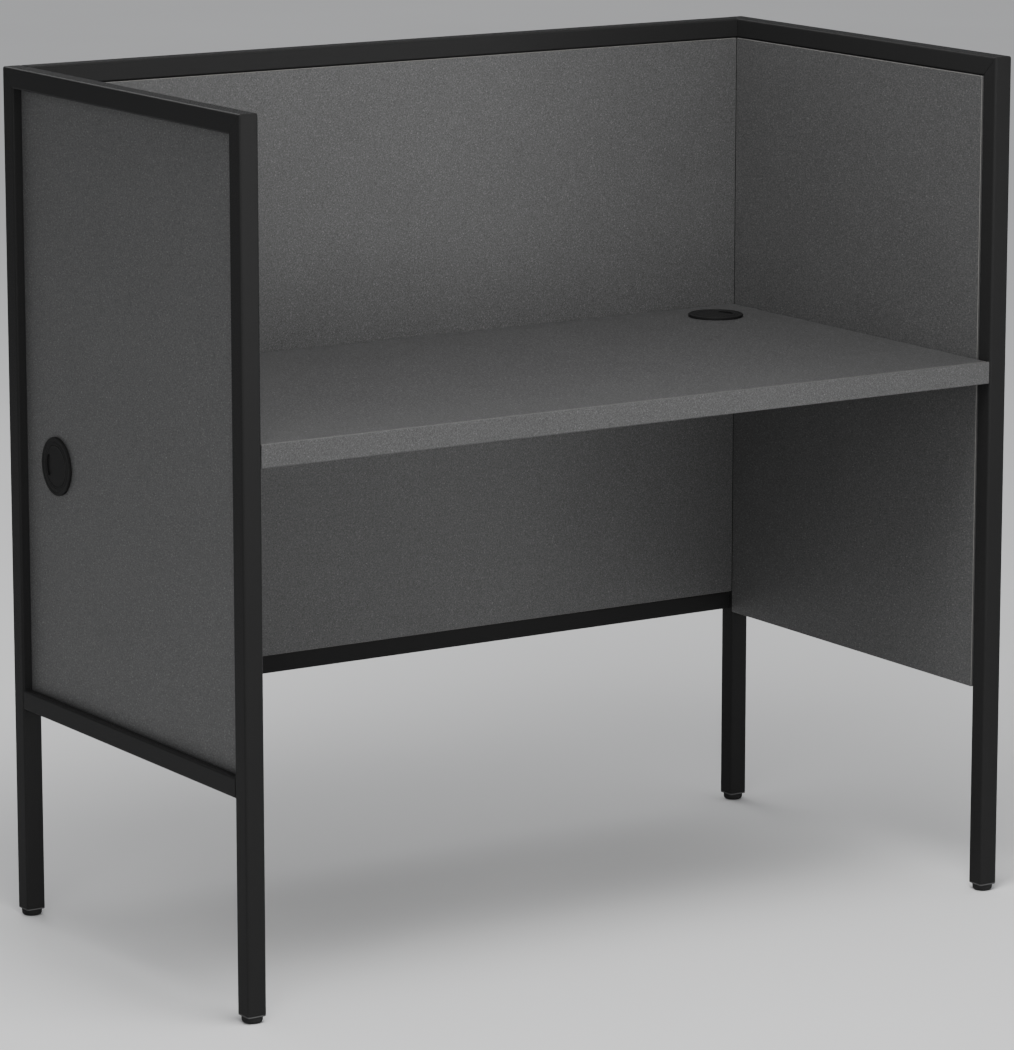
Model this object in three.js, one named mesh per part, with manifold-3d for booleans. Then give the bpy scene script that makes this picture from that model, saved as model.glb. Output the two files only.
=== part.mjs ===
// Study carrel: a square-tube steel frame, three laminate panels and a desktop with cable grommets.
// Millimetres, +Z up. The origin is on the floor under the middle, and the open front faces -Y.
import * as THREE from 'three';
import { mergeVertices } from 'three/addons/utils/BufferGeometryUtils.js';
import Module from 'manifold-3d';

const wasm = await Module();
wasm.setup();

// Overall size
const WIDTH = 1220;
const DEPTH = 640;
const HEIGHT = 1182;

// Steel frame
const TUBE = 28;
const TUBE_WALL = 1.5;
const TUBE_CORNER = 3;
const TUBE_END_Z = 11;
const RAIL_BOTTOM_Z = 296.5;
const SIDE_RAIL_DEPTH = 13;
const BACK_RAIL_DEPTH = 20;
const SPIGOT_LENGTH = 42;

// Panels and desktop
const PANEL = 16;
const SIDE_PANEL_RECESS = 13.3;
const SIDE_PANEL_BOTTOM_Z = 293;
const BACK_PANEL_END_GAP = 1.5;
const DESK_TOP_Z = 760;
const DESK_THICKNESS = 31;
const DESK_FRONT_SETBACK = 1;
const DESK_END_GAP = 1;
const DESK_BACK_GAP = 1;
const BAND = 2;
const BAND_END_GAP = 0.5;

// Steel angles that carry the desktop
const ANGLE_LEG = 25;
const ANGLE_METAL = 2.5;
const SIDE_ANGLE_LENGTH = 400;
const SIDE_ANGLE_MIDDLE_Y = 45;
const BACK_ANGLE_LENGTH = 1040;

// Cable grommets
const GROMMET_FLANGE_RADIUS = 40;
const GROMMET_FLANGE_HEIGHT = 4.2;
const GROMMET_HOLE_RADIUS = 31.6;
const GROMMET_SEAT_RADIUS = 29.6;
const GROMMET_SEAT_HEIGHT = 1.9;
const GROMMET_BORE_RADIUS = 27.4;
const SHELF_THICKNESS = 1.5;
const CAP_PLAY = 0.08;
const CAP_TOP = 4.4;
const SLOT_INNER_RADIUS = 14;
const SLOT_OUTER_RADIUS = 25.5;
const SLOT_HALF_ANGLE = THREE.MathUtils.degToRad(40);
const DESK_GROMMET_FROM_END = 91;
const DESK_GROMMET_FROM_BACK = 82;
const DESK_GROMMET_SLEEVE = 26;
const PANEL_GROMMET_FROM_POST = 88;
const PANEL_GROMMET_Z = 650;
const PANEL_GROMMET_SLEEVE = 13;

// Feet
const INSERT_FLANGE = 1.7;
const INSERT_PLUG = 18;
const GLIDE_HEIGHT = 9;
const GLIDE_RADIUS = 14;
const GLIDE_SOLE_RADIUS = 9.5;
const STEM_RADIUS = 4;
const STEM_LENGTH = 26;
const STEM_PLAY = 0.06;

// Dowels and screws
const DOWEL_RADIUS = 3;
const DOWEL_LENGTH = 24;
const DOWEL_IN_POST = 9;
const SIDE_DOWEL_HEIGHTS = [440, 1020];
const BACK_DOWEL_HEIGHTS = [500, 960];
const SCREW_RADIUS = 3;
const SCREW_HEAD_RADIUS = 5.5;
const SCREW_HEAD_HEIGHT = 2.6;
const SCREW_LENGTH = 16;
const SCREW_SUNK = 0.2;

// Gap left between pieces that touch
const GAP = 0.3;
const ROUND_STEPS = 48;
const SMALL_ROUND_STEPS = 24;
const CORNER_STEPS = 4;

const PANEL_TOP_Z = HEIGHT - TUBE - GAP;
const RAIL_TOP_Z = RAIL_BOTTOM_Z + TUBE;
const DESK_BOTTOM_Z = DESK_TOP_Z - DESK_THICKNESS;
const SIDE_INNER_X = WIDTH / 2 - SIDE_PANEL_RECESS - PANEL;
const BACK_FACE_Y = DEPTH / 2 - TUBE;
const SIDES = { left: -1, right: 1 };
const ENDS = { front: -1, rear: 1 };

const steel = { color: 0x1d1d1e, roughness: 0.5, metalness: 0.35 };
const laminate = { color: 0x454546, roughness: 0.62, metalness: 0.0 };
const edging = { color: 0x565657, roughness: 0.55, metalness: 0.0 };
const plastic = { color: 0x161617, roughness: 0.45, metalness: 0.0 };
const nylon = { color: 0x202021, roughness: 0.6, metalness: 0.0 };
const zinc = { color: 0x8d8f92, roughness: 0.35, metalness: 0.9 };

const carrel = new THREE.Group();

function piece(name, geometry, look, position = [0, 0, 0], parent = carrel) {
  const mesh = new THREE.Mesh(geometry, new THREE.MeshStandardMaterial(look));
  mesh.name = name;
  mesh.position.set(...position);
  parent.add(mesh);
  return mesh;
}

// Booleans
function toSolid(geometry) {
  const bare = geometry.clone();
  bare.deleteAttribute('normal');
  bare.deleteAttribute('uv');
  const merged = mergeVertices(bare, 1e-4);
  return new wasm.Manifold(new wasm.Mesh({
    numProp: 3,
    vertProperties: new Float32Array(merged.attributes.position.array),
    triVerts: new Uint32Array(merged.index.array),
  }));
}

function toGeometry(solid) {
  const mesh = solid.getMesh();
  const geometry = new THREE.BufferGeometry();
  geometry.setAttribute('position', new THREE.BufferAttribute(new Float32Array(mesh.vertProperties), 3));
  geometry.setIndex(new THREE.BufferAttribute(new Uint32Array(mesh.triVerts), 1));
  geometry.computeVertexNormals();
  return geometry;
}

function cut(geometry, cutters) {
  let solid = toSolid(geometry);
  for (const cutter of cutters) {
    solid = solid.subtract(toSolid(cutter));
  }
  return toGeometry(solid);
}

function join(geometries) {
  let solid = toSolid(geometries[0]);
  for (const other of geometries.slice(1)) {
    solid = solid.add(toSolid(other));
  }
  return toGeometry(solid);
}

// Basic shapes
function roundedOutline(Kind, width, height, radius) {
  const x = width / 2 - radius;
  const y = height / 2 - radius;
  const outline = new Kind();
  outline.absarc(x, y, radius, 0, Math.PI / 2);
  outline.absarc(-x, y, radius, Math.PI / 2, Math.PI);
  outline.absarc(-x, -y, radius, Math.PI, 1.5 * Math.PI);
  outline.absarc(x, -y, radius, 1.5 * Math.PI, 2 * Math.PI);
  outline.closePath();
  return outline;
}

function extrude(shape, length, curveSegments = CORNER_STEPS) {
  return new THREE.ExtrudeGeometry(shape, { depth: length, bevelEnabled: false, steps: 1, curveSegments });
}

function tubeAlongZ(width, height, length) {
  const shape = roundedOutline(THREE.Shape, width, height, TUBE_CORNER);
  const inside = TUBE_CORNER - TUBE_WALL;
  shape.holes.push(roundedOutline(THREE.Path, width - 2 * TUBE_WALL, height - 2 * TUBE_WALL, inside));
  return extrude(shape, length);
}

function barAlongZ(width, height, length, radius) {
  return extrude(roundedOutline(THREE.Shape, width, height, radius), length);
}

// The next two turn a shape built along Z. The result is centred on its length.
function alongX(geometry, length) {
  return geometry.rotateY(Math.PI / 2).translate(-length / 2, 0, 0);
}

function alongY(geometry, length) {
  return geometry.rotateX(-Math.PI / 2).translate(0, -length / 2, 0);
}

function roundBar(radius, length, axis, steps = SMALL_ROUND_STEPS) {
  const bar = new THREE.CylinderGeometry(radius, radius, length, steps);
  if (axis === 'x') bar.rotateZ(Math.PI / 2);
  if (axis === 'z') bar.rotateX(Math.PI / 2);
  return bar;
}

// A prism along X whose outline is a list of [y, z] points.
function prismAcross(points, width) {
  const shape = new THREE.Shape(points.map(([y, z]) => new THREE.Vector2(y, z)));
  const toYZ = new THREE.Matrix4().makeBasis(
    new THREE.Vector3(0, 1, 0),
    new THREE.Vector3(0, 0, 1),
    new THREE.Vector3(1, 0, 0),
  );
  return extrude(shape, width).translate(0, 0, -width / 2).applyMatrix4(toYZ);
}

function lathe(points, steps) {
  const profile = points.map(([r, z]) => new THREE.Vector2(r, z));
  return new THREE.LatheGeometry(profile, steps).rotateX(Math.PI / 2);
}

// Frame: posts and side top rails meet in a 45 degree mitre, and every other rail butts on a post.
function postMitre(end) {
  const over = 2;
  const outer = end * (TUBE / 2 + over);
  const top = HEIGHT + over;
  return prismAcross([[outer, top], [-outer, HEIGHT - TUBE - over], [-outer, top]], 2 * TUBE)
    .translate(0, 0, -GAP / 2);
}

function railMitre(end) {
  const over = 2;
  const outer = end * (DEPTH / 2 + over);
  const inner = end * (DEPTH / 2 - TUBE - over);
  const half = TUBE / 2 + over;
  return prismAcross([[outer, half], [inner, -half], [outer, -half]], 2 * TUBE)
    .translate(0, 0, GAP / 2);
}

function post(sideName, side, endName, end) {
  const body = tubeAlongZ(TUBE, TUBE, HEIGHT - TUBE_END_Z).translate(0, 0, TUBE_END_Z);
  const holeRadius = DOWEL_RADIUS + GAP;
  const panelOffset = side * (TUBE / 2 - SIDE_PANEL_RECESS - PANEL / 2);
  const cutters = [postMitre(end)];
  for (const z of SIDE_DOWEL_HEIGHTS) {
    cutters.push(roundBar(holeRadius, TUBE, 'y').translate(panelOffset, -end * TUBE / 2, z));
  }
  for (const z of end > 0 ? BACK_DOWEL_HEIGHTS : []) {
    cutters.push(roundBar(holeRadius, TUBE, 'x').translate(-side * TUBE / 2, (PANEL - TUBE) / 2, z));
  }
  const position = [side * (WIDTH - TUBE) / 2, end * (DEPTH - TUBE) / 2, 0];
  piece(`${sideName}_${endName}_post`, cut(body, cutters), steel, position);
}

function sideTopRail(sideName, side) {
  const body = alongY(tubeAlongZ(TUBE, TUBE, DEPTH), DEPTH);
  const position = [side * (WIDTH - TUBE) / 2, 0, HEIGHT - TUBE / 2];
  piece(`${sideName}_top_rail`, cut(body, [railMitre(-1), railMitre(1)]), steel, position);
}

function sideBottomRail(sideName, side) {
  const length = DEPTH - 2 * TUBE - 2 * GAP;
  const body = alongY(tubeAlongZ(SIDE_RAIL_DEPTH, TUBE, length), length);
  const position = [side * (WIDTH - SIDE_RAIL_DEPTH) / 2, 0, RAIL_BOTTOM_Z + TUBE / 2];
  piece(`${sideName}_bottom_rail`, body, steel, position);
}

// Countersunk screw along Y with its head towards +Y and its top at y = 0.
function screwProfile(extra) {
  const head = SCREW_HEAD_RADIUS + extra;
  const shank = SCREW_RADIUS + extra;
  const tip = -(SCREW_LENGTH + extra);
  const profile = [[0, tip], [shank, tip], [shank, -SCREW_HEAD_HEIGHT], [head, 0]];
  return extra > 0 ? [...profile, [head, extra], [0, extra]] : [...profile, [0, 0]];
}

function screwAlongY(extra = 0) {
  return lathe(screwProfile(extra), SMALL_ROUND_STEPS).rotateX(-Math.PI / 2);
}

function backRail(levelName, depth, z) {
  const length = WIDTH - 2 * TUBE - 2 * GAP;
  const centreY = (DEPTH - depth) / 2;
  const screwX = length / 2 - SPIGOT_LENGTH / 2;
  const hole = screwAlongY(GAP).translate(0, depth / 2 - SCREW_SUNK, 0);
  const holes = Object.values(SIDES).map((side) => hole.clone().translate(side * screwX, 0, 0));
  const body = alongX(tubeAlongZ(TUBE, depth, length), length);
  piece(`back_${levelName}_rail`, cut(body, holes), steel, [0, centreY, z]);
  for (const [sideName, side] of Object.entries(SIDES)) {
    const play = 2 * (TUBE_WALL + GAP);
    const bar = alongX(barAlongZ(TUBE - play, depth - play, SPIGOT_LENGTH, TUBE_CORNER), SPIGOT_LENGTH);
    const spigot = cut(bar, [hole.clone()]);
    piece(`${sideName}_${levelName}_spigot`, spigot, steel, [side * screwX, centreY, z]);
    const screwY = DEPTH / 2 - SCREW_SUNK;
    piece(`${sideName}_${levelName}_spigot_screw`, screwAlongY(), zinc, [side * screwX, screwY, z]);
  }
}

// Panels
function sidePanel(sideName, side) {
  const length = DEPTH - 2 * TUBE - 2 * GAP;
  const height = PANEL_TOP_Z - SIDE_PANEL_BOTTOM_Z;
  const centreZ = SIDE_PANEL_BOTTOM_Z + height / 2;
  const grommetY = BACK_FACE_Y - PANEL_GROMMET_FROM_POST;
  const depthInPanel = DOWEL_LENGTH - DOWEL_IN_POST;
  const cutters = [
    roundBar(GROMMET_HOLE_RADIUS, 2 * PANEL, 'x', ROUND_STEPS)
      .translate(0, grommetY, PANEL_GROMMET_Z - centreZ),
  ];
  for (const end of Object.values(ENDS)) {
    for (const z of SIDE_DOWEL_HEIGHTS) {
      cutters.push(roundBar(DOWEL_RADIUS + GAP, 2 * (depthInPanel + GAP), 'y')
        .translate(0, end * length / 2, z - centreZ));
    }
  }
  const x = side * (SIDE_INNER_X + PANEL / 2);
  const body = cut(new THREE.BoxGeometry(PANEL, length, height), cutters);
  piece(`${sideName}_panel`, body, laminate, [x, 0, centreZ]);
  for (const [endName, end] of Object.entries(ENDS)) {
    SIDE_DOWEL_HEIGHTS.forEach((z, i) => {
      const y = end * (BACK_FACE_Y + DOWEL_IN_POST - DOWEL_LENGTH / 2);
      piece(`${sideName}_panel_${endName}_dowel_${i + 1}`, roundBar(DOWEL_RADIUS, DOWEL_LENGTH, 'y'), zinc, [x, y, z]);
    });
  }
}

function backPanel() {
  const length = WIDTH - 2 * TUBE - 2 * BACK_PANEL_END_GAP;
  const bottomZ = RAIL_TOP_Z + GAP;
  const height = PANEL_TOP_Z - bottomZ;
  const centreZ = bottomZ + height / 2;
  const y = BACK_FACE_Y + PANEL / 2;
  const cutters = [];
  for (const side of Object.values(SIDES)) {
    for (const z of BACK_DOWEL_HEIGHTS) {
      cutters.push(roundBar(DOWEL_RADIUS + GAP, 2 * DOWEL_LENGTH, 'x')
        .translate(side * (length / 2 + DOWEL_IN_POST), 0, z - centreZ));
    }
  }
  piece('back_panel', cut(new THREE.BoxGeometry(length, PANEL, height), cutters), laminate, [0, y, centreZ]);
  for (const [sideName, side] of Object.entries(SIDES)) {
    BACK_DOWEL_HEIGHTS.forEach((z, i) => {
      const x = side * (WIDTH / 2 - TUBE + DOWEL_IN_POST - DOWEL_LENGTH / 2);
      piece(`back_panel_${sideName}_dowel_${i + 1}`, roundBar(DOWEL_RADIUS, DOWEL_LENGTH, 'x'), zinc, [x, y, z]);
    });
  }
}

// Desktop with its front band, carried by three steel angles
const DESK_HALF_WIDTH = SIDE_INNER_X - DESK_END_GAP;
const BAND_HALF_WIDTH = WIDTH / 2 - TUBE - BAND_END_GAP;
const DESK_BACK_Y = BACK_FACE_Y - DESK_BACK_GAP;
const BAND_FRONT_Y = -DEPTH / 2 + DESK_FRONT_SETBACK;
const DESK_GROMMET_X = SIDE_INNER_X - DESK_GROMMET_FROM_END;
const DESK_GROMMET_Y = BACK_FACE_Y - DESK_GROMMET_FROM_BACK;

function desktop() {
  const frontY = BAND_FRONT_Y + BAND + GAP;
  const depth = DESK_BACK_Y - frontY;
  const centreY = frontY + depth / 2;
  const centreZ = DESK_TOP_Z - DESK_THICKNESS / 2;
  const hole = roundBar(GROMMET_HOLE_RADIUS, 2 * DESK_THICKNESS, 'z', ROUND_STEPS)
    .translate(DESK_GROMMET_X, DESK_GROMMET_Y - centreY, 0);
  const board = new THREE.BoxGeometry(2 * DESK_HALF_WIDTH, depth, DESK_THICKNESS);
  piece('desktop', cut(board, [hole]), laminate, [0, centreY, centreZ]);
  const band = new THREE.BoxGeometry(2 * BAND_HALF_WIDTH, BAND, DESK_THICKNESS);
  piece('desktop_front_band', band, edging, [0, BAND_FRONT_Y + BAND / 2, centreZ]);
}

// An L section with its corner at the origin, one leg down and one leg towards +X.
function angleAlongZ(length) {
  const shape = new THREE.Shape();
  shape.moveTo(0, 0);
  shape.lineTo(0, -ANGLE_LEG);
  shape.lineTo(ANGLE_METAL, -ANGLE_LEG);
  shape.lineTo(ANGLE_METAL, -ANGLE_METAL);
  shape.lineTo(ANGLE_LEG, -ANGLE_METAL);
  shape.lineTo(ANGLE_LEG, 0);
  shape.closePath();
  return extrude(shape, length).translate(0, 0, -length / 2);
}

function deskAngles() {
  const z = DESK_BOTTOM_Z - GAP;
  const x = SIDE_INNER_X - GAP;
  const left = angleAlongZ(SIDE_ANGLE_LENGTH).rotateX(Math.PI / 2);
  piece('left_desk_angle', left, steel, [-x, SIDE_ANGLE_MIDDLE_Y, z]);
  const right = left.clone().rotateZ(Math.PI);
  piece('right_desk_angle', right, steel, [x, SIDE_ANGLE_MIDDLE_Y, z]);
  const back = angleAlongZ(BACK_ANGLE_LENGTH).rotateX(Math.PI / 2).rotateZ(-Math.PI / 2);
  piece('back_desk_angle', back, steel, [0, BACK_FACE_Y - GAP, z]);
}

// Grommet: built with its flange on the local XY plane and its sleeve down the local -Z
function grommetLiner(sleeve) {
  const flange = GROMMET_FLANGE_RADIUS;
  const outer = GROMMET_HOLE_RADIUS - GAP;
  const ring = lathe([
    [GROMMET_BORE_RADIUS, -sleeve],
    [outer, -sleeve],
    [outer, GAP],
    [flange, GAP],
    [flange, GROMMET_FLANGE_HEIGHT - 1.1],
    [flange - 0.4, GROMMET_FLANGE_HEIGHT - 0.4],
    [flange - 1.2, GROMMET_FLANGE_HEIGHT],
    [GROMMET_SEAT_RADIUS, GROMMET_FLANGE_HEIGHT - 0.3],
    [GROMMET_SEAT_RADIUS, GROMMET_SEAT_HEIGHT],
    [GROMMET_BORE_RADIUS, GROMMET_SEAT_HEIGHT],
    [GROMMET_BORE_RADIUS, -sleeve],
  ], ROUND_STEPS);
  const half = new THREE.Shape();
  half.absarc(0, 0, GROMMET_BORE_RADIUS + 1, -Math.PI / 2, Math.PI / 2);
  half.closePath();
  const shelf = extrude(half, SHELF_THICKNESS, SMALL_ROUND_STEPS)
    .translate(0, 0, GROMMET_SEAT_HEIGHT - SHELF_THICKNESS);
  return join([ring, shelf]);
}

function grommetCap() {
  const radius = GROMMET_SEAT_RADIUS - CAP_PLAY;
  const bottom = GROMMET_SEAT_HEIGHT + GAP;
  const disc = lathe([
    [0, bottom],
    [radius, bottom],
    [radius, CAP_TOP - 0.8],
    [radius - 0.8, CAP_TOP],
    [0, CAP_TOP],
  ], ROUND_STEPS);
  const slot = new THREE.Shape();
  slot.absarc(0, 0, SLOT_OUTER_RADIUS, -SLOT_HALF_ANGLE, SLOT_HALF_ANGLE, false);
  slot.absarc(0, 0, SLOT_INNER_RADIUS, SLOT_HALF_ANGLE, -SLOT_HALF_ANGLE, true);
  slot.closePath();
  return cut(disc, [extrude(slot, 2 * CAP_TOP, SMALL_ROUND_STEPS)]);
}

function grommet(name, sleeve, position, turn) {
  const holder = new THREE.Group();
  holder.position.set(...position);
  holder.rotation.set(...turn);
  carrel.add(holder);
  piece(`${name}_grommet_liner`, grommetLiner(sleeve), plastic, [0, 0, 0], holder);
  piece(`${name}_grommet_cap`, grommetCap(), plastic, [0, 0, 0], holder);
}

function grommets() {
  grommet('desktop', DESK_GROMMET_SLEEVE, [DESK_GROMMET_X, DESK_GROMMET_Y, DESK_TOP_Z], [0, 0, 0]);
  for (const [sideName, side] of Object.entries(SIDES)) {
    const x = side * (WIDTH / 2 - SIDE_PANEL_RECESS);
    const y = BACK_FACE_Y - PANEL_GROMMET_FROM_POST;
    const turn = [0, side * Math.PI / 2, Math.PI / 2, 'YXZ'];
    grommet(`${sideName}_panel`, PANEL_GROMMET_SLEEVE, [x, y, PANEL_GROMMET_Z], turn);
  }
}

// Feet: a moulded insert closes each post, and a glide screws into it
function foot(sideName, side, endName, end) {
  const x = side * (WIDTH - TUBE) / 2;
  const y = end * (DEPTH - TUBE) / 2;
  const inside = TUBE - 2 * (TUBE_WALL + GAP);
  const plugTop = TUBE_END_Z + INSERT_PLUG;
  const flange = barAlongZ(TUBE, TUBE, INSERT_FLANGE, TUBE_CORNER).translate(0, 0, GLIDE_HEIGHT);
  const plug = barAlongZ(inside, inside, plugTop - GLIDE_HEIGHT, TUBE_CORNER).translate(0, 0, GLIDE_HEIGHT);
  const hole = roundBar(STEM_RADIUS + STEM_PLAY, 4 * TUBE, 'z');
  const insert = cut(join([flange, plug]), [hole]);
  piece(`${sideName}_${endName}_foot_insert`, insert, nylon, [x, y, 0]);
  const padTop = GLIDE_HEIGHT - GAP;
  const stemTop = padTop + STEM_LENGTH;
  const glide = lathe([
    [0, 0],
    [GLIDE_SOLE_RADIUS, 0],
    [GLIDE_RADIUS - 2, 1.3],
    [GLIDE_RADIUS - 0.6, 3.6],
    [GLIDE_RADIUS, 6.4],
    [GLIDE_RADIUS, padTop],
    [STEM_RADIUS, padTop],
    [STEM_RADIUS, stemTop - 1],
    [STEM_RADIUS - 1, stemTop],
    [0, stemTop],
  ], SMALL_ROUND_STEPS);
  piece(`${sideName}_${endName}_glide`, glide, nylon, [x, y, 0]);
}

for (const [sideName, side] of Object.entries(SIDES)) {
  for (const [endName, end] of Object.entries(ENDS)) {
    post(sideName, side, endName, end);
    foot(sideName, side, endName, end);
  }
  sideTopRail(sideName, side);
  sideBottomRail(sideName, side);
  sidePanel(sideName, side);
}
backRail('top', TUBE, HEIGHT - TUBE / 2);
backRail('bottom', BACK_RAIL_DEPTH, RAIL_BOTTOM_Z + TUBE / 2);
backPanel();
desktop();
deskAngles();
grommets();

export default carrel;
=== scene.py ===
"""Study carrel: square-tube frame, laminate panels, desktop, cable grommets and levelling glides.

Metres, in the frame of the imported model: +X right, +Y back, +Z up, the floor at z = 0.
"""
import math

import bmesh
import bpy
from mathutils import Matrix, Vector


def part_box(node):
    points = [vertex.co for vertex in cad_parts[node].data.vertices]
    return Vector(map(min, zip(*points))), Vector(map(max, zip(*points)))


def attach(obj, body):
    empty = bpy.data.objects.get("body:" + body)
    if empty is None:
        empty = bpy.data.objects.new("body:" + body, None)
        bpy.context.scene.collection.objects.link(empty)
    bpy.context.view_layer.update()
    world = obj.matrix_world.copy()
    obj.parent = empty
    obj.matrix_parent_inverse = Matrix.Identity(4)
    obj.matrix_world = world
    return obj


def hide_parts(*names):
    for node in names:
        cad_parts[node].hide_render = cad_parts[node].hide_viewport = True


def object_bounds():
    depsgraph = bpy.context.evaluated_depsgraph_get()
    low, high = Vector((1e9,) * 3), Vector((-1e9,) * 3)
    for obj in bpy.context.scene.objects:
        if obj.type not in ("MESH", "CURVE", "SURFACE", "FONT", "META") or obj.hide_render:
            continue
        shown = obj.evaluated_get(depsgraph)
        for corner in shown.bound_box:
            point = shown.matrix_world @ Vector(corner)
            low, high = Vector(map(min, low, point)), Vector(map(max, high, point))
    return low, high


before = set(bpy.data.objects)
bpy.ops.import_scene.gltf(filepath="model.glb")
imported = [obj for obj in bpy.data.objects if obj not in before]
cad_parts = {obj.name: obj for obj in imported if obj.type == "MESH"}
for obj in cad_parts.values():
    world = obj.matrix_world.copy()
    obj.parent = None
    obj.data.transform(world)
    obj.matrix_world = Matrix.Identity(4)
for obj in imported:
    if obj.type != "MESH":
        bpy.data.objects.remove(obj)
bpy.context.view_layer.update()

MM = 0.001
X, Y, Z = Vector((1, 0, 0)), Vector((0, 1, 0)), Vector((0, 0, 1))
SIDES = {"left": -1, "right": 1}
ENDS = {"front": -1, "rear": 1}

TOP_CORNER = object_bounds()[1]

# Frame tubes
CORNER_RADIUS = 3.2 * MM
TUBE_WALL = 1.5 * MM
MITRE_GROOVE = 0.28 * MM
TIP_RADIUS = 2.2 * MM
CORNER_STEPS = 6
FACE_GAP = 0.3 * MM

# Boards
BAND_BEVEL = 0.45 * MM
BOARD_CORNER = 1.5 * MM
DESK_JOINT = 0.9 * MM
FRONT_BAND_RADIUS = 1.5 * MM
FRONT_BAND_END = 0.4 * MM
FRONT_BAND_STEP = 0.2 * MM
# The places of a board's materials: its two faces, its edges, its bevels and the wall of its hole
BOARD_FACE, BOARD_EDGE, BOARD_BEVEL, BOARD_HOLE = range(4)

# Steel angles
ANGLE_METAL = 2.5 * MM
ANGLE_BEND = 2.0 * MM
SHORT_ANGLE_SCREWS = 3
LONG_ANGLE_SCREWS = 5
# An angle at least this long takes the larger number of screws
LONG_ANGLE = 600 * MM
SCREW_STAGGER = 30 * MM

# Button-head screws
HEAD_RADIUS = 4.2 * MM
HEAD_HEIGHT = 2.2 * MM
HEAD_EDGE = 0.5 * MM
HEAD_LIFT = 0.05 * MM
SOCKET = 1.5 * MM
SOCKET_DEPTH = 1.3 * MM

# Countersunk screws
SHANK_RADIUS = 3.0 * MM
SUNK_HEAD_HEIGHT = 2.6 * MM
SUNK_SOCKET = 2.0 * MM
SUNK_SOCKET_DEPTH = 2.2 * MM

# Cable grommets, in millimetres: the rings made from these are scaled by MM
GROMMET_HOLE = 31.6
LINER_WALL_RADIUS = 31.3
FLANGE_RADIUS = 40.0
FLANGE_TOP = 4.2
GROOVE_OUTER = 35.7
GROOVE_INNER = 33.2
SEAT_RADIUS = 29.6
SEAT_HEIGHT = 1.9
BORE_RADIUS = 27.4
SHELF_RADIUS = 27.35
SHELF_BOTTOM = 0.4
CAP_RADIUS = 29.52
CAP_BOTTOM = 2.2
CAP_TOP = 4.4
CAP_DISH = 0.45
SLOT_INNER = 14.0
SLOT_OUTER = 25.5
SLOT_HALF_ANGLE = math.radians(40)
SLOT_CORNER = 3.0
DESK_SLEEVE = 26.0
PANEL_SLEEVE = 13.0
SLEEVES = {"desktop": DESK_SLEEVE, "left_panel": PANEL_SLEEVE, "right_panel": PANEL_SLEEVE}

# Feet. The pad's sizes are in millimetres, like the grommets'
INSERT_HOLE = 4.06 * MM
INSERT_FLANGE = 1.7 * MM
PAD_FACE = 8.2
PAD_RADIUS = 14.0
PAD_TOP = 8.7
BOWL_CENTRE = (9.6, 4.3)
BOWL_RADIUS = 4.2
STEM_RADIUS = 3.98 * MM
THREAD_PITCH = 1.25 * MM
THREAD_DEPTH = 0.62 * MM
THREAD_ROWS = 6

# Steps round a full circle
ROUND = 96
GLIDE_ROUND = 48
SCREW_ROUND = 36


# ---------------------------------------------------------------- camera, floor and light
CAMERA_TURN = math.radians(32.748)
CAMERA_DIP = math.radians(11.454)
CAMERA_PLACE = Vector((-3.8252, -5.9365, 1.9697))
CAMERA_LENS = 178.6
FLOOR_HALF = 60
LOW_SKY_LIGHT = 0.045
HORIZON_LIGHT = 0.42
ZENITH_LIGHT = 0.76
SKY_COLOUR = (0.97, 0.98, 1.0, 1)
# The sky's strength by the height of its direction: a thin pale horizon, a dim band and a bright top
SKY = [(0.05, HORIZON_LIGHT), (0.11, LOW_SKY_LIGHT), (0.35, LOW_SKY_LIGHT), (0.85, ZENITH_LIGHT)]
# Each softbox's place, target, size and power in watts
SOFTBOXES = {
    "key_softbox": ((-3.8, -4.0, 2.9), (0, 0, 0.6), (3.0, 2.4), 80),
    "upper_softbox": ((-0.35, -0.9, 2.8), (0.6, -0.05, 0.8), (1.2, 1.2), 68),
    "fill_softbox": ((1.2, -2.9, 0.66), (0, -0.2, 0.6), (2.0, 1.1), 38),
    "low_softbox": ((-2.6, -3.4, 0.6), (0.5, 0.0, 0.45), (1.6, 1.0), 44),
    "rear_softbox": ((0.2, 4.0, 3.6), (0, 0.3, 0.5), (2.4, 2.0), 45),
}
LOW_SOFTBOXES = ("fill_softbox", "low_softbox")


def make_camera():
    data = bpy.data.cameras.new("camera")
    data.lens = CAMERA_LENS
    data.sensor_width = 36
    data.clip_end = 100
    camera = bpy.data.objects.new("camera", data)
    bpy.context.scene.collection.objects.link(camera)
    camera.location = CAMERA_PLACE
    look = Vector((
        math.sin(CAMERA_TURN) * math.cos(CAMERA_DIP),
        math.cos(CAMERA_TURN) * math.cos(CAMERA_DIP),
        -math.sin(CAMERA_DIP),
    ))
    camera.rotation_mode = "QUATERNION"
    camera.rotation_quaternion = look.to_track_quat("-Z", "Y")
    bpy.context.scene.camera = camera


def area_light(name, place, target, size, watts):
    data = bpy.data.lights.new(name, "AREA")
    data.shape = "RECTANGLE"
    data.size, data.size_y = size
    data.energy = watts
    lamp = bpy.data.objects.new(name, data)
    bpy.context.scene.collection.objects.link(lamp)
    lamp.location = place
    lamp.rotation_mode = "QUATERNION"
    lamp.rotation_quaternion = (Vector(target) - Vector(place)).to_track_quat("-Z", "Y")
    lamp.visible_camera = False
    return lamp


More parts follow.
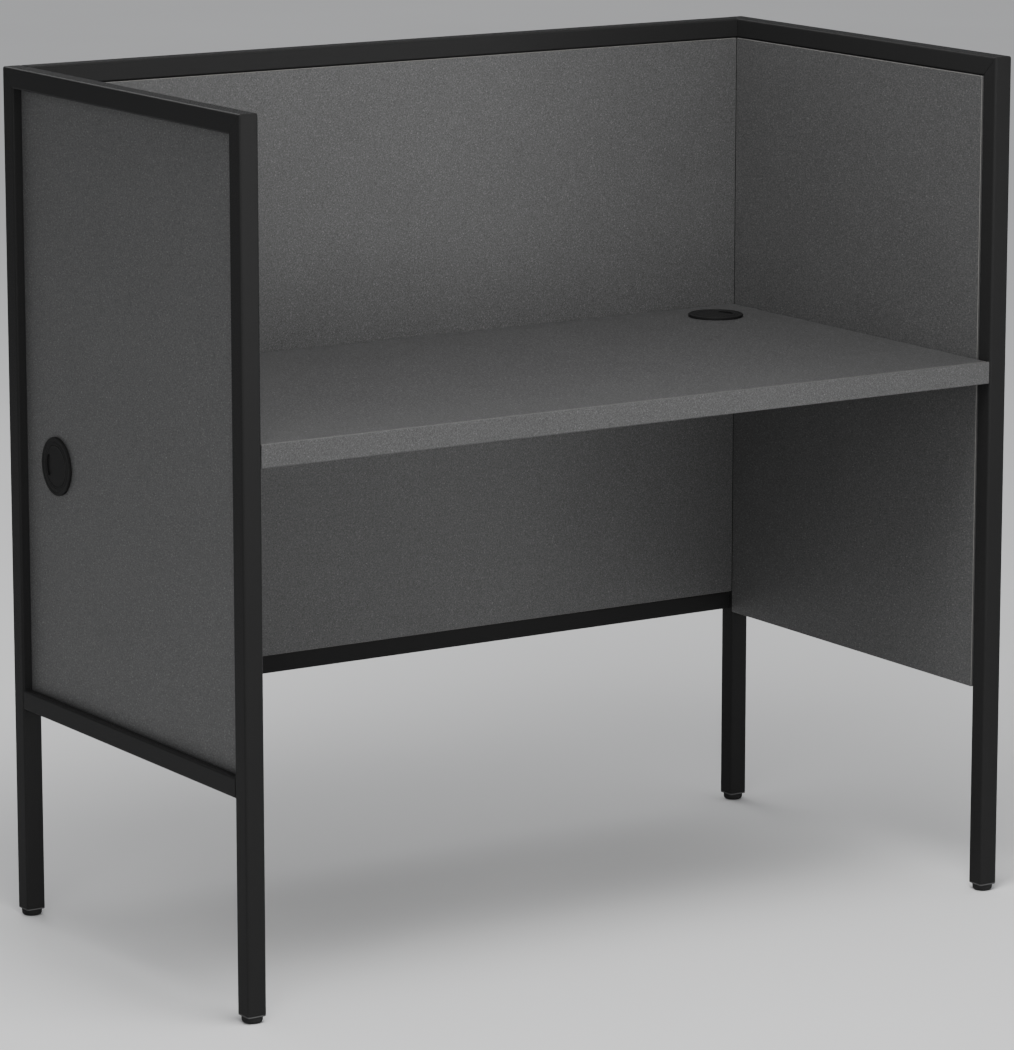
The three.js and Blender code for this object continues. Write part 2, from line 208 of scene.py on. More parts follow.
def make_sky():
    world = bpy.data.worlds.new("studio")
    world.use_nodes = True
    tree = world.node_tree
    direction = tree.nodes.new("ShaderNodeTexCoord").outputs["Generated"]
    split = tree.nodes.new("ShaderNodeSeparateXYZ")
    tree.links.new(direction, split.inputs[0])
    rise = tree.nodes.new("ShaderNodeValToRGB")
    rise.color_ramp.interpolation = "EASE"
    stops = rise.color_ramp.elements
    while len(stops) < len(SKY):
        stops.new(0.5)
    for stop, (height, strength) in zip(stops, SKY):
        stop.position = height
        stop.color = (strength, strength, strength, 1)
    tree.links.new(split.outputs["Z"], rise.inputs["Fac"])
    background = tree.nodes["Background"]
    background.inputs["Color"].default_value = SKY_COLOUR
    tree.links.new(rise.outputs["Color"], background.inputs["Strength"])
    bpy.context.scene.world = world


def make_lights():
    for name, (place, target, size, watts) in SOFTBOXES.items():
        lamp = area_light(name, place, target, size, watts)
        if name in LOW_SOFTBOXES:
            keep_off_floor(lamp)


def keep_off_floor(lamp):
    """Stops a low lamp from leaving a bright patch on the floor beside it."""
    spared = bpy.data.collections.new("spared_by_" + lamp.name)
    spared.objects.link(bpy.data.objects["floor"])
    lamp.light_linking.receiver_collection = spared
    spared.collection_objects[0].light_linking.link_state = "EXCLUDE"


def make_floor():
    mesh = bpy.data.meshes.new("floor")
    half = FLOOR_HALF
    corners = [(-half, -half, 0), (half, -half, 0), (half, half, 0), (-half, half, 0)]
    mesh.from_pydata(corners, [], [(0, 1, 2, 3)])
    floor = bpy.data.objects.new("floor", mesh)
    bpy.context.scene.collection.objects.link(floor)
    floor.data.materials.append(floor_material())


# ---------------------------------------------------------------- materials
class Nodes:
    """A short way to write a material's node tree."""

    def __init__(self, name):
        self.material = bpy.data.materials.new(name)
        self.material.use_nodes = True
        self.tree = self.material.node_tree
        self.shader = self.tree.nodes["Principled BSDF"]
        self.place = self.add("ShaderNodeTexCoord").outputs["Object"]

    def add(self, kind, **values):
        node = self.tree.nodes.new(kind)
        for key, value in values.items():
            setattr(node, key, value)
        return node

    def link(self, source, target):
        self.tree.links.new(source, target)

    def noise(self, scale, detail=2.0, roughness=0.5, stretch=None):
        """Noise over the piece. stretch is a rotation and a scale of its coordinates."""
        node = self.add("ShaderNodeTexNoise")
        node.inputs["Scale"].default_value = scale
        node.inputs["Detail"].default_value = detail
        node.inputs["Roughness"].default_value = roughness
        place = self.place
        if stretch is not None:
            mapping = self.add("ShaderNodeMapping")
            mapping.inputs["Rotation"].default_value = stretch[0]
            mapping.inputs["Scale"].default_value = stretch[1]
            self.link(place, mapping.inputs["Vector"])
            place = mapping.outputs["Vector"]
        self.link(place, node.inputs["Vector"])
        return node.outputs["Fac"]

    def ramp(self, value, stops):
        """A colour ramp. Each stop is a place and either a grey level or a colour."""
        node = self.add("ShaderNodeValToRGB")
        elements = node.color_ramp.elements
        while len(elements) < len(stops):
            elements.new(0.5)
        for element, (place, colour) in zip(elements, stops):
            element.position = place
            red_green_blue = colour if isinstance(colour, tuple) else (colour, colour, colour)
            element.color = (*red_green_blue, 1)
        self.link(value, node.inputs["Fac"])
        return node.outputs["Color"]

    def multiply(self, first, second):
        node = self.add("ShaderNodeMix", data_type="RGBA", blend_type="MULTIPLY")
        node.inputs["Factor"].default_value = 1.0
        self.link(first, node.inputs["A"])
        self.link(second, node.inputs["B"])
        return node.outputs["Result"]

    def spread(self, value, low_value, high_value):
        node = self.add("ShaderNodeMapRange")
        node.inputs["To Min"].default_value = low_value
        node.inputs["To Max"].default_value = high_value
        self.link(value, node.inputs["Value"])
        return node.outputs["Result"]

    def bump(self, height, strength, distance):
        node = self.add("ShaderNodeBump")
        node.inputs["Strength"].default_value = strength
        node.inputs["Distance"].default_value = distance
        self.link(height, node.inputs["Height"])
        self.link(node.outputs["Normal"], self.shader.inputs["Normal"])

    def set(self, **values):
        for key, value in values.items():
            self.shader.inputs[key.replace("_", " ")].default_value = value


def floor_material():
    made = Nodes("pale_floor")
    soft = made.noise(1.2, 2.0)
    made.link(made.ramp(soft, [(0.3, 0.85), (0.7, 0.87)]), made.shader.inputs["Base Color"])
    made.set(Roughness=0.8)
    return made.material


def laminate_material(name, tone, speckle=1.0):
    """Speckled laminate: a mid grey with fine dark strokes and small light flecks."""
    made = Nodes(name)
    stroke = made.noise(560, 3.0, 0.7, ((0.4, 0.7, 0.5), (1.0, 0.6, 1.0)))
    grain = made.noise(1300, 2.0, 0.6)
    cloud = made.noise(9, 2.0, 0.5)
    shades = [(0.33, 0.58), (0.50, 0.95), (0.61, 1.18), (0.72, 2.3)]
    strokes = made.ramp(stroke, [(place, 1 + speckle * (shade - 1)) for place, shade in shades])
    grains = made.ramp(grain, [(0.30, 0.80), (0.70, 1.20)])
    clouds = made.ramp(cloud, [(0.25, tone * 0.97), (0.75, tone * 1.03)])
    colour = made.multiply(clouds, made.multiply(strokes, grains))
    made.link(colour, made.shader.inputs["Base Color"])
    made.link(made.spread(grain, 0.46, 0.62), made.shader.inputs["Roughness"])
    made.set(Specular_IOR_Level=0.3)
    made.bump(stroke, 0.3, 0.0002)
    return made.material


def band_material(name, low_tone, high_tone):
    made = Nodes(name)
    grain = made.noise(900, 2.0, 0.5)
    made.link(made.ramp(grain, [(0.3, low_tone), (0.7, high_tone)]), made.shader.inputs["Base Color"])
    made.link(made.spread(grain, 0.42, 0.55), made.shader.inputs["Roughness"])
    made.set(Specular_IOR_Level=0.3)
    made.bump(grain, 0.15, 0.0001)
    return made.material


def coat_material():
    """Black powder coat: fine orange peel over steel."""
    made = Nodes("powder_coat")
    peel = made.noise(1100, 3.0, 0.55)
    dust = made.noise(5200, 1.0, 0.5)
    tone = made.ramp(dust, [(0.30, 0.0135), (0.62, 0.0175), (0.80, 0.030)])
    made.link(tone, made.shader.inputs["Base Color"])
    made.link(made.spread(peel, 0.22, 0.33), made.shader.inputs["Roughness"])
    made.set(Specular_IOR_Level=0.022)
    made.bump(peel, 0.35, 0.00025)
    return made.material


def plastic_material(name, tone, rough, scale=1800):
    made = Nodes(name)
    grain = made.noise(scale, 2.0, 0.5)
    made.link(made.ramp(grain, [(0.3, tone * 0.9), (0.7, tone * 1.1)]), made.shader.inputs["Base Color"])
    made.link(made.spread(grain, rough - 0.06, rough + 0.06), made.shader.inputs["Roughness"])
    made.set(Specular_IOR_Level=0.025)
    made.bump(grain, 0.2, 0.00015)
    return made.material


def metal_material(name, tone, rough):
    made = Nodes(name)
    streak = made.noise(900, 3.0, 0.6, ((0, 0, 0), (1.0, 1.0, 8.0)))
    made.link(made.ramp(streak, [(0.3, tone * 0.85), (0.7, tone * 1.1)]), made.shader.inputs["Base Color"])
    made.link(made.spread(streak, rough - 0.08, rough + 0.1), made.shader.inputs["Roughness"])
    made.set(Metallic=1.0)
    made.bump(streak, 0.1, 0.0001)
    return made.material


# ---------------------------------------------------------------- mesh helpers
def finish_piece(name, mesh_work, materials, body, replaced, smooth_degrees=32):
    bmesh.ops.recalc_face_normals(mesh_work, faces=mesh_work.faces[:])
    mesh = bpy.data.meshes.new(name)
    mesh_work.to_mesh(mesh)
    mesh_work.free()
    for material in materials:
        mesh.materials.append(material)
    mesh.shade_smooth()
    mesh.set_sharp_from_angle(angle=math.radians(smooth_degrees))
    piece = bpy.data.objects.new(name, mesh)
    bpy.context.scene.collection.objects.link(piece)
    weighted = piece.modifiers.new("weighted", "WEIGHTED_NORMAL")
    weighted.keep_sharp = True
    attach(piece, body)
    if replaced:
        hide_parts(*replaced)


def rounded_outline(width, height, radius):
    """Points and outward normals round a rectangle with rounded corners."""
    points = []
    for corner, (side_u, side_v) in enumerate(((1, 1), (-1, 1), (-1, -1), (1, -1))):
        for step in range(CORNER_STEPS + 1):
            angle = (corner + step / CORNER_STEPS) * math.pi / 2
            normal = (math.cos(angle), math.sin(angle))
            u = side_u * (width / 2 - radius) + radius * normal[0]
            v = side_v * (height / 2 - radius) + radius * normal[1]
            points.append((u, v, *normal))
    return points


def skin(work, rings, loop=False, materials=None):
    """Joins rings of points with quads. A ring is a list of Vectors."""
    made = [[work.verts.new(point) for point in ring] for ring in rings]
    pairs = list(zip(made, made[1:]))
    if loop:
        pairs.append((made[-1], made[0]))
    for index, (one, two) in enumerate(pairs):
        count = len(one)
        for i in range(count):
            j = (i + 1) % count
            face = work.faces.new((one[i], one[j], two[j], two[i]))
            if materials:
                face.material_index = materials[index]
    return made


def solid(rings):
    """A new mesh of joined rings, closed with a face at each end."""
    work = bmesh.new()
    made = skin(work, rings)
    work.faces.new(made[0])
    work.faces.new(made[-1])
    return work


def fill_flat(work, loops):
    """Fills a flat outline with holes, given as loops of vertices that already exist."""
    edges = []
    for verts in loops:
        for i, vert in enumerate(verts):
            other = verts[(i + 1) % len(verts)]
            edges.append(work.edges.get((vert, other)) or work.edges.new((vert, other)))
    bmesh.ops.triangle_fill(work, use_beauty=True, use_dissolve=False, edges=edges)


def turned(profile, steps=ROUND):
    """Rings for a turned shape from a list of (radius, height)."""
    rings = []
    for radius, height in profile:
        ring = []
        for i in range(steps):
            angle = 2 * math.pi * i / steps
            ring.append(Vector((radius * math.cos(angle), radius * math.sin(angle), height)))
        rings.append(ring)
    return rings


def arc(centre, radius, start, stop, steps):
    """Points on an arc in (radius, height), angles in degrees."""
    points = []
    for i in range(steps + 1):
        angle = math.radians(start + (stop - start) * i / steps)
        points.append((centre[0] + radius * math.cos(angle), centre[1] + radius * math.sin(angle)))
    return points


def placed(rings, origin, out, right):
    """Moves rings built on local XYZ so that local Z is out and local X is right."""
    up = out.cross(right)
    return [[origin + p.x * right + p.y * up + p.z * out for p in ring] for ring in rings]


# ---------------------------------------------------------------- frame tubes
def tube_end_rings(width, height, radius, end, tip, sign):
    """The rings of a tube's end, from the outer wall to the inner wall.

    end(u, v) is the end plane's place along the tube and tip the outward normal of the face that
    meets its neighbour in a rounded corner, or None on a square end. sign is +1 at the far end.
    """
    outer = rounded_outline(width, height, radius)
    inner = rounded_outline(width - 2 * TUBE_WALL, height - 2 * TUBE_WALL, radius - TUBE_WALL)
    rings = []
    for degrees in (0, 15, 30, 45):
        angle = math.radians(degrees)
        share = degrees / 45
        ring = []
        for u, v, normal_u, normal_v in outer:
            weight = 0.0
            if tip is not None:
                weight = max(0.0, normal_u * tip[0] + normal_v * tip[1]) ** 2
            shrink = weight * TIP_RADIUS * (1 - math.cos(angle)) + (1 - weight) * MITRE_GROOVE * share
            new_u, new_v = u - shrink * normal_u, v - shrink * normal_v
            back = weight * TIP_RADIUS * (math.cos(angle) - math.sin(angle))
            back += (1 - weight) * MITRE_GROOVE * (1 - share)
            ring.append((new_u, new_v, end(new_u, new_v) - sign * back))
        rings.append(ring)
    rings.append([(u, v, end(u, v)) for u, v, _, _ in inner])
    return rings


def tube(name, node, along, across, up, section, ends, tips=(None, None)):
    """A hollow square tube in place of a CAD node.

    section is its (width, height). ends holds a function of (u, v) for each end, which gives the end's
    place along the tube as the model's own coordinate.
    """
    lo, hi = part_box(node)
    centre = (lo + hi) / 2
    centre -= along * centre.dot(along)
    width, height = section
    first = tube_end_rings(width, height, CORNER_RADIUS, ends[0], tips[0], -1)
    last = tube_end_rings(width, height, CORNER_RADIUS, ends[1], tips[1], 1)
    rings = list(reversed(first)) + last
    work = bmesh.new()
    skin(work, [[centre + u * across + v * up + s * along for u, v, s in ring] for ring in rings], loop=True)
    finish_piece(name, work, [coat], "root", [node])


def make_frame():
    post_lo, post_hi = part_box("left_front_post")
    side = post_hi.x - post_lo.x
    half = side / 2
    tube_end = post_lo.z
    depth_half = TOP_CORNER.y
    for side_name in SIDES:
        for end_name, end in ENDS.items():
            node = f"{side_name}_{end_name}_post"
            tube(
                f"post_{side_name}_{end_name}", node, Z, X, Y, (side, side),
                (
                    lambda u, v: tube_end,
                    lambda u, v, end=end: TOP_CORNER.z - (half - end * v) - FACE_GAP / 2,
                ),
                (None, (0, end)),
            )
        tube(
            f"top_rail_{side_name}", f"{side_name}_top_rail", Y, X, Z, (side, side),
            (
                lambda u, v: -depth_half + (half - v) + FACE_GAP / 2,
                lambda u, v: depth_half - (half - v) - FACE_GAP / 2,
            ),
            ((0, 1), (0, 1)),
        )
        lo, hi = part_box(f"{side_name}_bottom_rail")
        tube(
            f"bottom_rail_{side_name}", f"{side_name}_bottom_rail", Y, X, Z, (hi.x - lo.x, hi.z - lo.z),
            (lambda u, v, place=lo.y: place, lambda u, v, place=hi.y: place),
        )
    for level in ("top", "bottom"):
        lo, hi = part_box(f"back_{level}_rail")
        tube(
            f"back_rail_{level}", f"back_{level}_rail", X, Y, Z, (hi.y - lo.y, hi.z - lo.z),
            (lambda u, v, place=lo.x: place, lambda u, v, place=hi.x: place),
        )


# ---------------------------------------------------------------- boards
def board(name, node, thin, wide, tall, laminate, hole=None, joint=0):
    """A laminate board with banded, bevelled edges. thin, wide and tall are its axes.

    hole is (centre, radius) of a round hole through it. joint is the gap left at its two ends along wide
    and at the far end along tall.
    """
    lo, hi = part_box(node)
    lo += joint * wide
    hi -= joint * (wide + tall)
    centre = (lo + hi) / 2
    size = hi - lo
    thickness, width, height = (abs(size.dot(axis)) for axis in (thin, wide, tall))
    # Each ring's side, its inset from the board's edge and its depth below the board's face
    bevels = [(-1, BAND_BEVEL, 0.0), (-1, 0.0, BAND_BEVEL), (1, 0.0, BAND_BEVEL), (1, BAND_BEVEL, 0.0)]
    rings = []
    hole_rings = []
    for side, inset, back in bevels:
        level = side * (thickness / 2 - back)
        outline = rounded_outline(width - 2 * inset, height - 2 * inset, BOARD_CORNER)
        rings.append([centre + u * wide + v * tall + level * thin for u, v, _, _ in outline])
        if hole and inset:
            place, radius = hole
            offset = place - centre
            middle = centre + wide * offset.dot(wide) + tall * offset.dot(tall) + level * thin
            hole_rings.append([
                middle + radius * (math.cos(a) * wide + math.sin(a) * tall)
                for a in (2 * math.pi * i / ROUND for i in range(ROUND))
            ])
    work = bmesh.new()
    made = skin(work, rings, materials=[BOARD_BEVEL, BOARD_EDGE, BOARD_BEVEL])
    holes = skin(work, hole_rings, materials=[BOARD_HOLE]) if hole else []
    fill_flat(work, [made[0]] + holes[:1])
    fill_flat(work, [made[-1]] + holes[1:])
    # The bevels take the lighter band, a painted highlight along each board's rims
    materials = {BOARD_FACE: laminate, BOARD_EDGE: band, BOARD_BEVEL: painted_highlight_band, BOARD_HOLE: core}
    finish_piece(name, work, materials.values(), "root", [node], 25)


def make_boards():
    for side_name in SIDES:
        lo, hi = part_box(f"{side_name}_panel_grommet_liner")
        hole = ((lo + hi) / 2, GROMMET_HOLE * MM)
        board(f"panel_{side_name}", f"{side_name}_panel", X, Y, Z, panel_laminate, hole)
    board("panel_back", "back_panel", Y, X, Z, panel_laminate)
    lo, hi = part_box("desktop_grommet_liner")
    hole = ((lo + hi) / 2, GROMMET_HOLE * MM)
    board("desktop_board", "desktop", Z, X, Y, desk_laminate_painted_shade, hole, joint=DESK_JOINT)


def make_front_band():
    """The desktop's front band, with its two long edges rounded."""
    lo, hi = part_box("desktop_front_band")
    radius = FRONT_BAND_RADIUS
    inset = FRONT_BAND_END
    outline = [
        (hi.y, lo.z + FRONT_BAND_STEP),
        *arc((lo.y + radius, lo.z + radius), radius, 270, 180, 6),
        *arc((lo.y + radius, hi.z - radius), radius, 180, 90, 6),
        (hi.y, hi.z - FRONT_BAND_STEP),
    ]
    middle = Vector((0, (lo.y + hi.y) / 2, (lo.z + hi.z) / 2))
    rings = []
    for x, shrink in ((lo.x, 1), (lo.x + inset, 0), (hi.x - inset, 0), (hi.x, 1)):
        ring = []
        for y, z in outline:
            toward = middle - Vector((0, y, z))
            toward.z = math.copysign(min(abs(toward.z), inset), toward.z)
            toward.y = math.copysign(min(abs(toward.y), inset), toward.y)
            ring.append(Vector((x, y, z)) + shrink * toward)
        rings.append(ring)
    work = solid(rings)
    node = "desktop_front_band"
    finish_piece("desktop_front_band_strip", work, [front_band], "root", [node])


# ---------------------------------------------------------------- steel angles and screws
def make_angle(name, node, along, leg_out):
    """An L-shaped steel angle under the desktop: one leg up the panel, one leg under the desktop."""
    lo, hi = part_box(node)
    size = hi - lo
    length = abs(size.dot(along))
    leg = size.z
    metal = ANGLE_METAL
    bend = ANGLE_BEND
    corner = (lo + hi) / 2 - leg_out * (abs(size.dot(leg_out)) / 2)
    corner.z = hi.z
    outline = [
        (0.0, -leg),
        *arc((bend, -bend), bend, 180, 90, 6),
        (leg, 0.0),
        (leg, -metal),
        *arc((metal + bend, -metal - bend), bend, 90, 180, 6),
        (metal, -leg),
    ]
    rings = []
    for place in (-length / 2, length / 2):
        rings.append([corner + u * leg_out + v * Z + place * along for u, v in outline])
    finish_piece(name, solid(rings), [coat], "root", [node])
    count = SHORT_ANGLE_SCREWS if length < LONG_ANGLE else LONG_ANGLE_SCREWS
    for i in range(count):
        place = corner + along * (length * ((i + 0.5) / count - 0.5))
        up_place = place + leg_out * (leg * 0.6) - Z * metal
        socket_screw(f"{name}_desk_screw_{i + 1}", up_place, -Z, along)
        out_place = place + along * SCREW_STAGGER + leg_out * metal - Z * (leg * 0.55)
        socket_screw(f"{name}_panel_screw_{i + 1}", out_place, leg_out, along)


def hex_ring(flat_radius, height, steps):
    """A hexagon with as many points as a turned ring, so that the two can be joined."""
    ring = []
    for i in range(steps):
        angle = 2 * math.pi * i / steps
        nearest = round(angle / (math.pi / 3)) * math.pi / 3
        radius = flat_radius / math.cos(angle - nearest)
        ring.append(Vector((radius * math.cos(angle), radius * math.sin(angle), height)))
    return ring


def socket_screw(name, place, out, right):
    """A button-head socket screw's head, standing on a face."""
    profile = [(0.6 * HEAD_RADIUS, HEAD_LIFT), (HEAD_RADIUS, HEAD_LIFT), (HEAD_RADIUS, HEAD_EDGE)]
    for step in range(1, 6):
        angle = math.radians(12 * step)
        rise = (HEAD_HEIGHT - HEAD_EDGE) * math.sin(angle)
        profile.append((HEAD_RADIUS * math.cos(angle), HEAD_EDGE + rise))
    rings = turned(profile, SCREW_ROUND)
    rings.append(hex_ring(SOCKET + 0.15 * MM, HEAD_HEIGHT * 0.93, SCREW_ROUND))
    rings.append(hex_ring(SOCKET, HEAD_HEIGHT * 0.85, SCREW_ROUND))
    rings.append(hex_ring(SOCKET, HEAD_HEIGHT - SOCKET_DEPTH, SCREW_ROUND))
    work = solid(placed(rings, place, out, right))
    finish_piece(name, work, [black_zinc], "root", [])


def make_spigot_screws():
    """The flush countersunk socket screws at the ends of the two back rails."""
    for side_name in SIDES:
        for level in ("top", "bottom"):
            node = f"{side_name}_{level}_spigot_screw"
            lo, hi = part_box(node)
            centre = (lo + hi) / 2
            place = Vector((centre.x, hi.y, centre.z))
            head = (hi.x - lo.x) / 2
            length = hi.y - lo.y
            profile = [
                (0.3 * MM, -length),
                (2.2 * MM, -length + 0.2 * MM),
                (SHANK_RADIUS, -length + 1.0 * MM),
                (SHANK_RADIUS, -SUNK_HEAD_HEIGHT),
                (head - 0.15 * MM, -0.15 * MM),
                (head - 0.4 * MM, 0.0),
            ]
            rings = turned(profile, SCREW_ROUND)
            rings.append(hex_ring(SUNK_SOCKET + 0.15 * MM, 0.0, SCREW_ROUND))
            rings.append(hex_ring(SUNK_SOCKET, -0.2 * MM, SCREW_ROUND))
            rings.append(hex_ring(SUNK_SOCKET, -SUNK_SOCKET_DEPTH, SCREW_ROUND))
            work = solid(placed(rings, place, Y, X))
            name = f"back_rail_screw_{side_name}_{level}"
            finish_piece(name, work, [black_zinc], "root", [node])


# ---------------------------------------------------------------- cable grommets
def grommet_place(name):
    """Where the grommet's flange lies: its centre on the board, its outward axis and its slot's way."""
    lo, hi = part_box(f"{name}_grommet_liner")
    centre = (lo + hi) / 2
    if name == "desktop":
        return Vector((centre.x, centre.y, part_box("desktop")[1].z)), Z, X
    side = -1 if name.startswith("left") else 1
    panel_lo, panel_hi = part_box(name)
    face = panel_lo.x if side < 0 else panel_hi.x
    return Vector((face, centre.y, centre.z)), side * X, Y


def make_liner(name, sleeve):
    origin, out, right = grommet_place(name)
    outer = FLANGE_RADIUS
    top = FLANGE_TOP
    wall = [(BORE_RADIUS, -sleeve), (LINER_WALL_RADIUS, -sleeve), (LINER_WALL_RADIUS, 0.3)]
    rim = [(outer - 0.4, 0.3), (outer, 0.7), (outer, top - 1.2)]
    rim += arc((outer - 1.1, top - 1.1), 1.1, 5, 90, 5)
    groove = [(GROOVE_OUTER + 0.5, top), (GROOVE_OUTER + 0.2, top - 0.08), (GROOVE_OUTER, top - 0.35)]
    groove += [(GROOVE_INNER, top - 0.35), (GROOVE_INNER - 0.2, top - 0.08), (GROOVE_INNER - 0.5, top)]
    lip = [(SEAT_RADIUS + 0.9, top), (SEAT_RADIUS + 0.3, top - 0.1), (SEAT_RADIUS + 0.02, top - 0.4)]
    seat = [(SEAT_RADIUS, SEAT_HEIGHT), (BORE_RADIUS + 0.1, SEAT_HEIGHT)]
    seat.append((BORE_RADIUS, SEAT_HEIGHT - 0.1))
    rings = turned([(r * MM, z * MM) for r, z in wall + rim + groove + lip + seat])
    work = bmesh.new()
    skin(work, placed(rings, origin, out, right), loop=True)
    # A half-round shelf lies under the slot at rest, and turning the cap half round opens the slot
    shelf_rings = []
    shelf_levels = [
        (0.3, SHELF_BOTTOM),
        (0.0, SHELF_BOTTOM + 0.3),
        (0.0, SEAT_HEIGHT - 0.3),
        (0.3, SEAT_HEIGHT - 0.02),
    ]
    for shrink, level in shelf_levels:
        radius = (SHELF_RADIUS - shrink) * MM
        ring = [
            Vector((shrink * MM + radius * math.cos(a), radius * math.sin(a), level * MM))
            for a in (math.radians(-88 + 176 * i / 40) for i in range(41))
        ]
        shelf_rings.append(ring)
    made = skin(work, placed(shelf_rings, origin, out, right))
    fill_flat(work, [made[0]])
    fill_flat(work, [made[-1]])
    finish_piece(
        f"grommet_liner_{name}", work, [black_plastic], "root",
        [f"{name}_grommet_liner"], 28,
    )


def kidney(offset, level):
    """The cap's curved slot, grown by offset: an arc-shaped outline with rounded ends."""
    inner = (SLOT_INNER - offset) * MM
    outer = (SLOT_OUTER + offset) * MM
    end = (outer - inner) / 2
    middle = (inner + outer) / 2
    soft = (SLOT_CORNER + offset) * MM
    reach = SLOT_HALF_ANGLE - math.atan2(end - offset * MM, middle)
    half = reach + math.atan2(end - soft, middle)
    degrees = math.degrees(half)
    points = arc((0, 0), outer, -degrees, degrees, 32)
    points += kidney_end(outer, inner, half, soft, 1)
    points += arc((0, 0), inner, degrees, -degrees, 24)
    points += kidney_end(outer, inner, half, soft, -1)
    return [Vector((x, y, level)) for x, y in points]


def kidney_end(outer, inner, half, soft, side):
    """Two rounded corners at one end of the slot: from the outer arc to the inner one, or back."""
    angle = side * half
    radial = Vector((math.cos(angle), math.sin(angle), 0))
    tangent = side * Vector((-math.sin(angle), math.cos(angle), 0))
    away = side * radial
    first, second = (outer, inner) if side > 0 else (inner, outer)
    turns = [math.radians(18 * step) for step in range(6)]
    points = []
    for turn in turns[1:]:
        centre = radial * first - away * soft
        points.append(centre + away * soft * math.cos(turn) + tangent * soft * math.sin(turn))
    for turn in turns[:-1]:
        centre = radial * second + away * soft
        points.append(centre + tangent * soft * math.cos(turn) - away * soft * math.sin(turn))
    return [(point.x, point.y) for point in points]


def make_cap(name):
    origin, out, right = grommet_place(name)
    radius = CAP_RADIUS
    bottom = CAP_BOTTOM
    top = CAP_TOP
    dish = top - CAP_DISH
    outer = [(radius - 0.2, bottom), (radius, bottom + 0.2), (radius, top - 0.7)]
    outer += arc((radius - 0.7, top - 0.7), 0.7, 20, 90, 4)
    outer += [(radius - 1.9, top), (radius - 2.3, top - 0.12), (radius - 2.7, dish)]
    outer_rings = turned([(r * MM, z * MM) for r, z in outer])
    slot_rings = [
        kidney(0.25, bottom * MM),
        kidney(0.0, (bottom + 0.25) * MM),
        kidney(0.0, (dish - 0.3) * MM),
        kidney(0.3, dish * MM),
    ]
    work = bmesh.new()
    made = skin(work, placed(outer_rings, origin, out, right))
    slot = skin(work, placed(slot_rings, origin, out, right))
    fill_flat(work, [made[0], slot[0]])
    fill_flat(work, [made[-1], slot[-1]])
    finish_piece(
        f"grommet_cap_{name}", work, [black_plastic], f"{name}_grommet_cap_body",
        [f"{name}_grommet_cap"], 28,
    )


# ---------------------------------------------------------------- feet
def make_insert(name, node):
    lo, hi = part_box(node)
    centre = Vector(((lo.x + hi.x) / 2, (lo.y + hi.y) / 2, 0))
    side = hi.x - lo.x
    flange_top = lo.z + INSERT_FLANGE
    plug = side - 2 * (TUBE_WALL + FACE_GAP)
    levels = [
        (side - 1.2 * MM, lo.z),
        (side - 0.3 * MM, lo.z + 0.35 * MM),
        (side, lo.z + 0.8 * MM),
        (side, flange_top - 0.3 * MM),
        (side - 0.6 * MM, flange_top),
        (plug, flange_top),
        (plug, hi.z - 1.2 * MM),
        (plug - 1.6 * MM, hi.z),
    ]
    rings = []
    for width, level in levels:
        outline = rounded_outline(width, width, CORNER_RADIUS)
        rings.append([centre + Vector((u, v, level)) for u, v, _, _ in outline])
    bore = []
    for level in (hi.z, lo.z):
        ring = []
        for u, v, _, _ in rounded_outline(side, side, CORNER_RADIUS):
            round_point = INSERT_HOLE * Vector((u, v)).normalized()
            ring.append(centre + Vector((round_point.x, round_point.y, level)))
        bore.append(ring)
    work = bmesh.new()
    skin(work, rings + bore, loop=True)
    finish_piece(f"foot_insert_{name}", work, [insert_nylon], "root", [node])


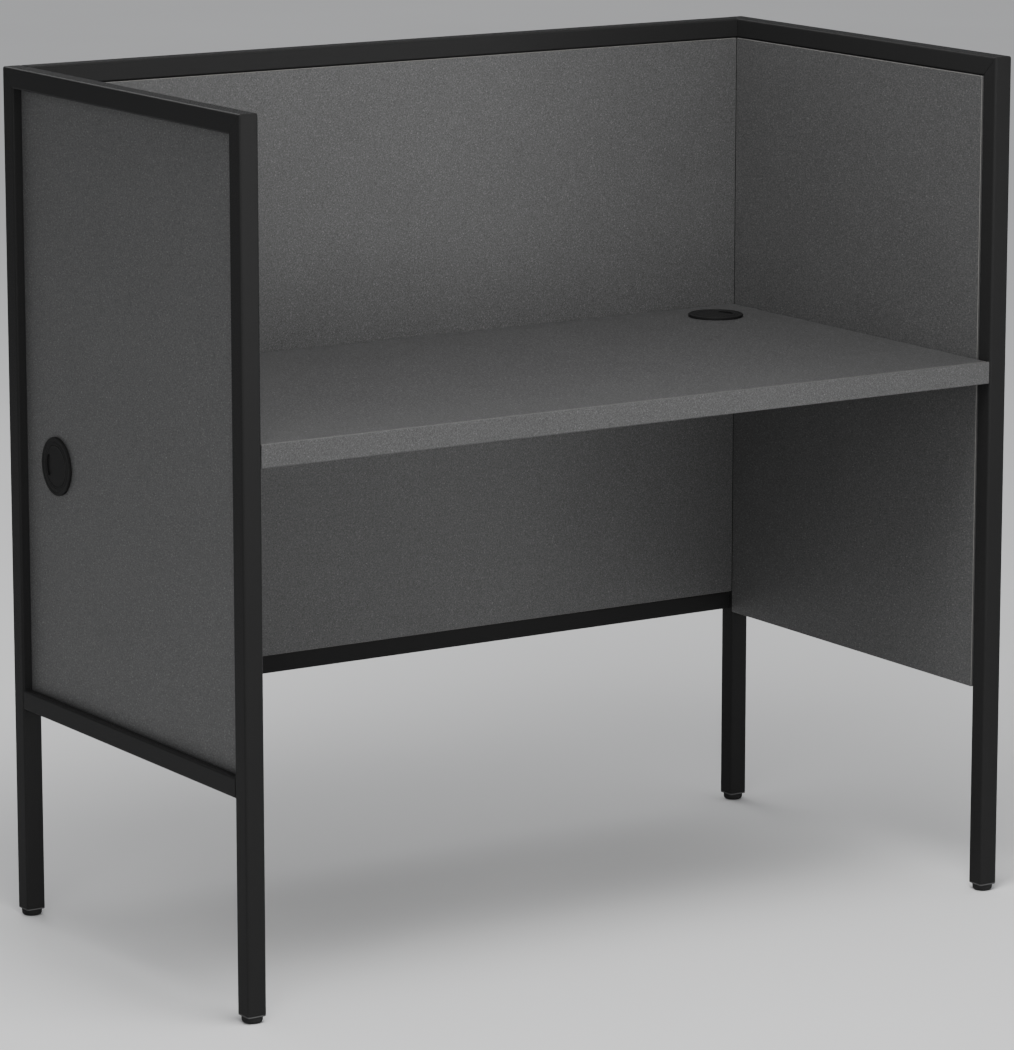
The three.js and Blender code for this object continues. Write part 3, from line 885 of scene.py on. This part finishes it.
def make_glide(name, node, body):
    """A bowl-shaped glide with a threaded stem."""
    lo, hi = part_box(node)
    centre = Vector(((lo.x + hi.x) / 2, (lo.y + hi.y) / 2, 0))
    pad = [(PAD_FACE, 0.0), (BOWL_CENTRE[0], 0.12), *arc(BOWL_CENTRE, BOWL_RADIUS, -88, -12, 8)]
    pad += [(PAD_RADIUS - 0.05, 5.2), (PAD_RADIUS, 6.6), (PAD_RADIUS, PAD_TOP - 0.6)]
    pad += [(PAD_RADIUS - 0.6, PAD_TOP), (5.0, PAD_TOP), (4.4, PAD_TOP), (3.95, PAD_TOP + 0.4)]
    rings = turned([(r * MM, z * MM) for r, z in pad], GLIDE_ROUND)
    start = (PAD_TOP + 0.6) * MM
    stop = hi.z - 0.9 * MM
    count = THREAD_ROWS * round((stop - start) / THREAD_PITCH)
    for row in range(count + 1):
        level = start + (stop - start) * row / count
        fade = min(1.0, row / THREAD_ROWS, (count - row) / THREAD_ROWS)
        ring = []
        for i in range(GLIDE_ROUND):
            turn = i / GLIDE_ROUND
            wave = abs(((level / THREAD_PITCH - turn) % 1.0) * 2 - 1)
            radius = STEM_RADIUS - fade * THREAD_DEPTH * wave
            angle = 2 * math.pi * turn
            ring.append(Vector((radius * math.cos(angle), radius * math.sin(angle), level)))
        rings.append(ring)
    rings += turned([(3.3 * MM, stop + 0.3 * MM), (2.6 * MM, hi.z)], GLIDE_ROUND)
    work = solid([[centre + point for point in ring] for ring in rings])
    for face in work.faces:
        if face.calc_center_median().z > (PAD_TOP + 0.2) * MM:
            face.material_index = 1
    finish_piece(f"glide_{name}", work, [glide_nylon, zinc], body, [node], 30)


def make_feet():
    for side_name in SIDES:
        for end_name in ENDS:
            name = f"{side_name}_{end_name}"
            make_insert(name, f"{name}_foot_insert")
            make_glide(name, f"{name}_glide", f"{name}_glide_body")


# ---------------------------------------------------------------- build
coat = coat_material()
panel_laminate = laminate_material("panel_laminate", 0.066, speckle=1.1)
# The desktop's laminate is a darker copy of the panel laminate: its lower tone is painted shade that offsets
# the stronger light falling on the desktop's top
desk_laminate_painted_shade = laminate_material("desk_laminate_painted_shade", 0.049, speckle=1.7)
front_band = laminate_material("front_band_laminate", 0.058)
band = band_material("edge_band", (0.060, 0.060, 0.060), (0.076, 0.076, 0.076))
# The bevel band is much lighter than the edge band: a painted highlight for the light catching the boards'
# bevelled rims
painted_highlight_band = band_material("edge_band_painted_highlight", (0.115, 0.112, 0.104), (0.150, 0.146, 0.136))
core = plastic_material("particle_core", 0.22, 0.8, 700)
black_plastic = plastic_material("black_plastic", 0.0125, 0.36)
insert_nylon = plastic_material("insert_nylon", 0.085, 0.5)
glide_nylon = plastic_material("glide_nylon", 0.018, 0.5)
zinc = metal_material("zinc_steel", 0.5, 0.35)
black_zinc = metal_material("black_zinc", 0.05, 0.38)

make_camera()
make_floor()
make_sky()
make_lights()
make_frame()
make_boards()
make_front_band()
make_angle("desk_angle_left", "left_desk_angle", Y, X)
make_angle("desk_angle_right", "right_desk_angle", Y, -X)
make_angle("desk_angle_back", "back_desk_angle", X, -Y)
make_spigot_screws()
for grommet, sleeve in SLEEVES.items():
    make_liner(grommet, sleeve)
    make_cap(grommet)
make_feet()

# The hidden dowels and spigots stay as the CAD made them
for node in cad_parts:
    if "dowel" in node or node.endswith("spigot"):
        hidden = bpy.data.objects[node]
        hidden.data.materials.clear()
        hidden.data.materials.append(zinc if "dowel" in node else coat)
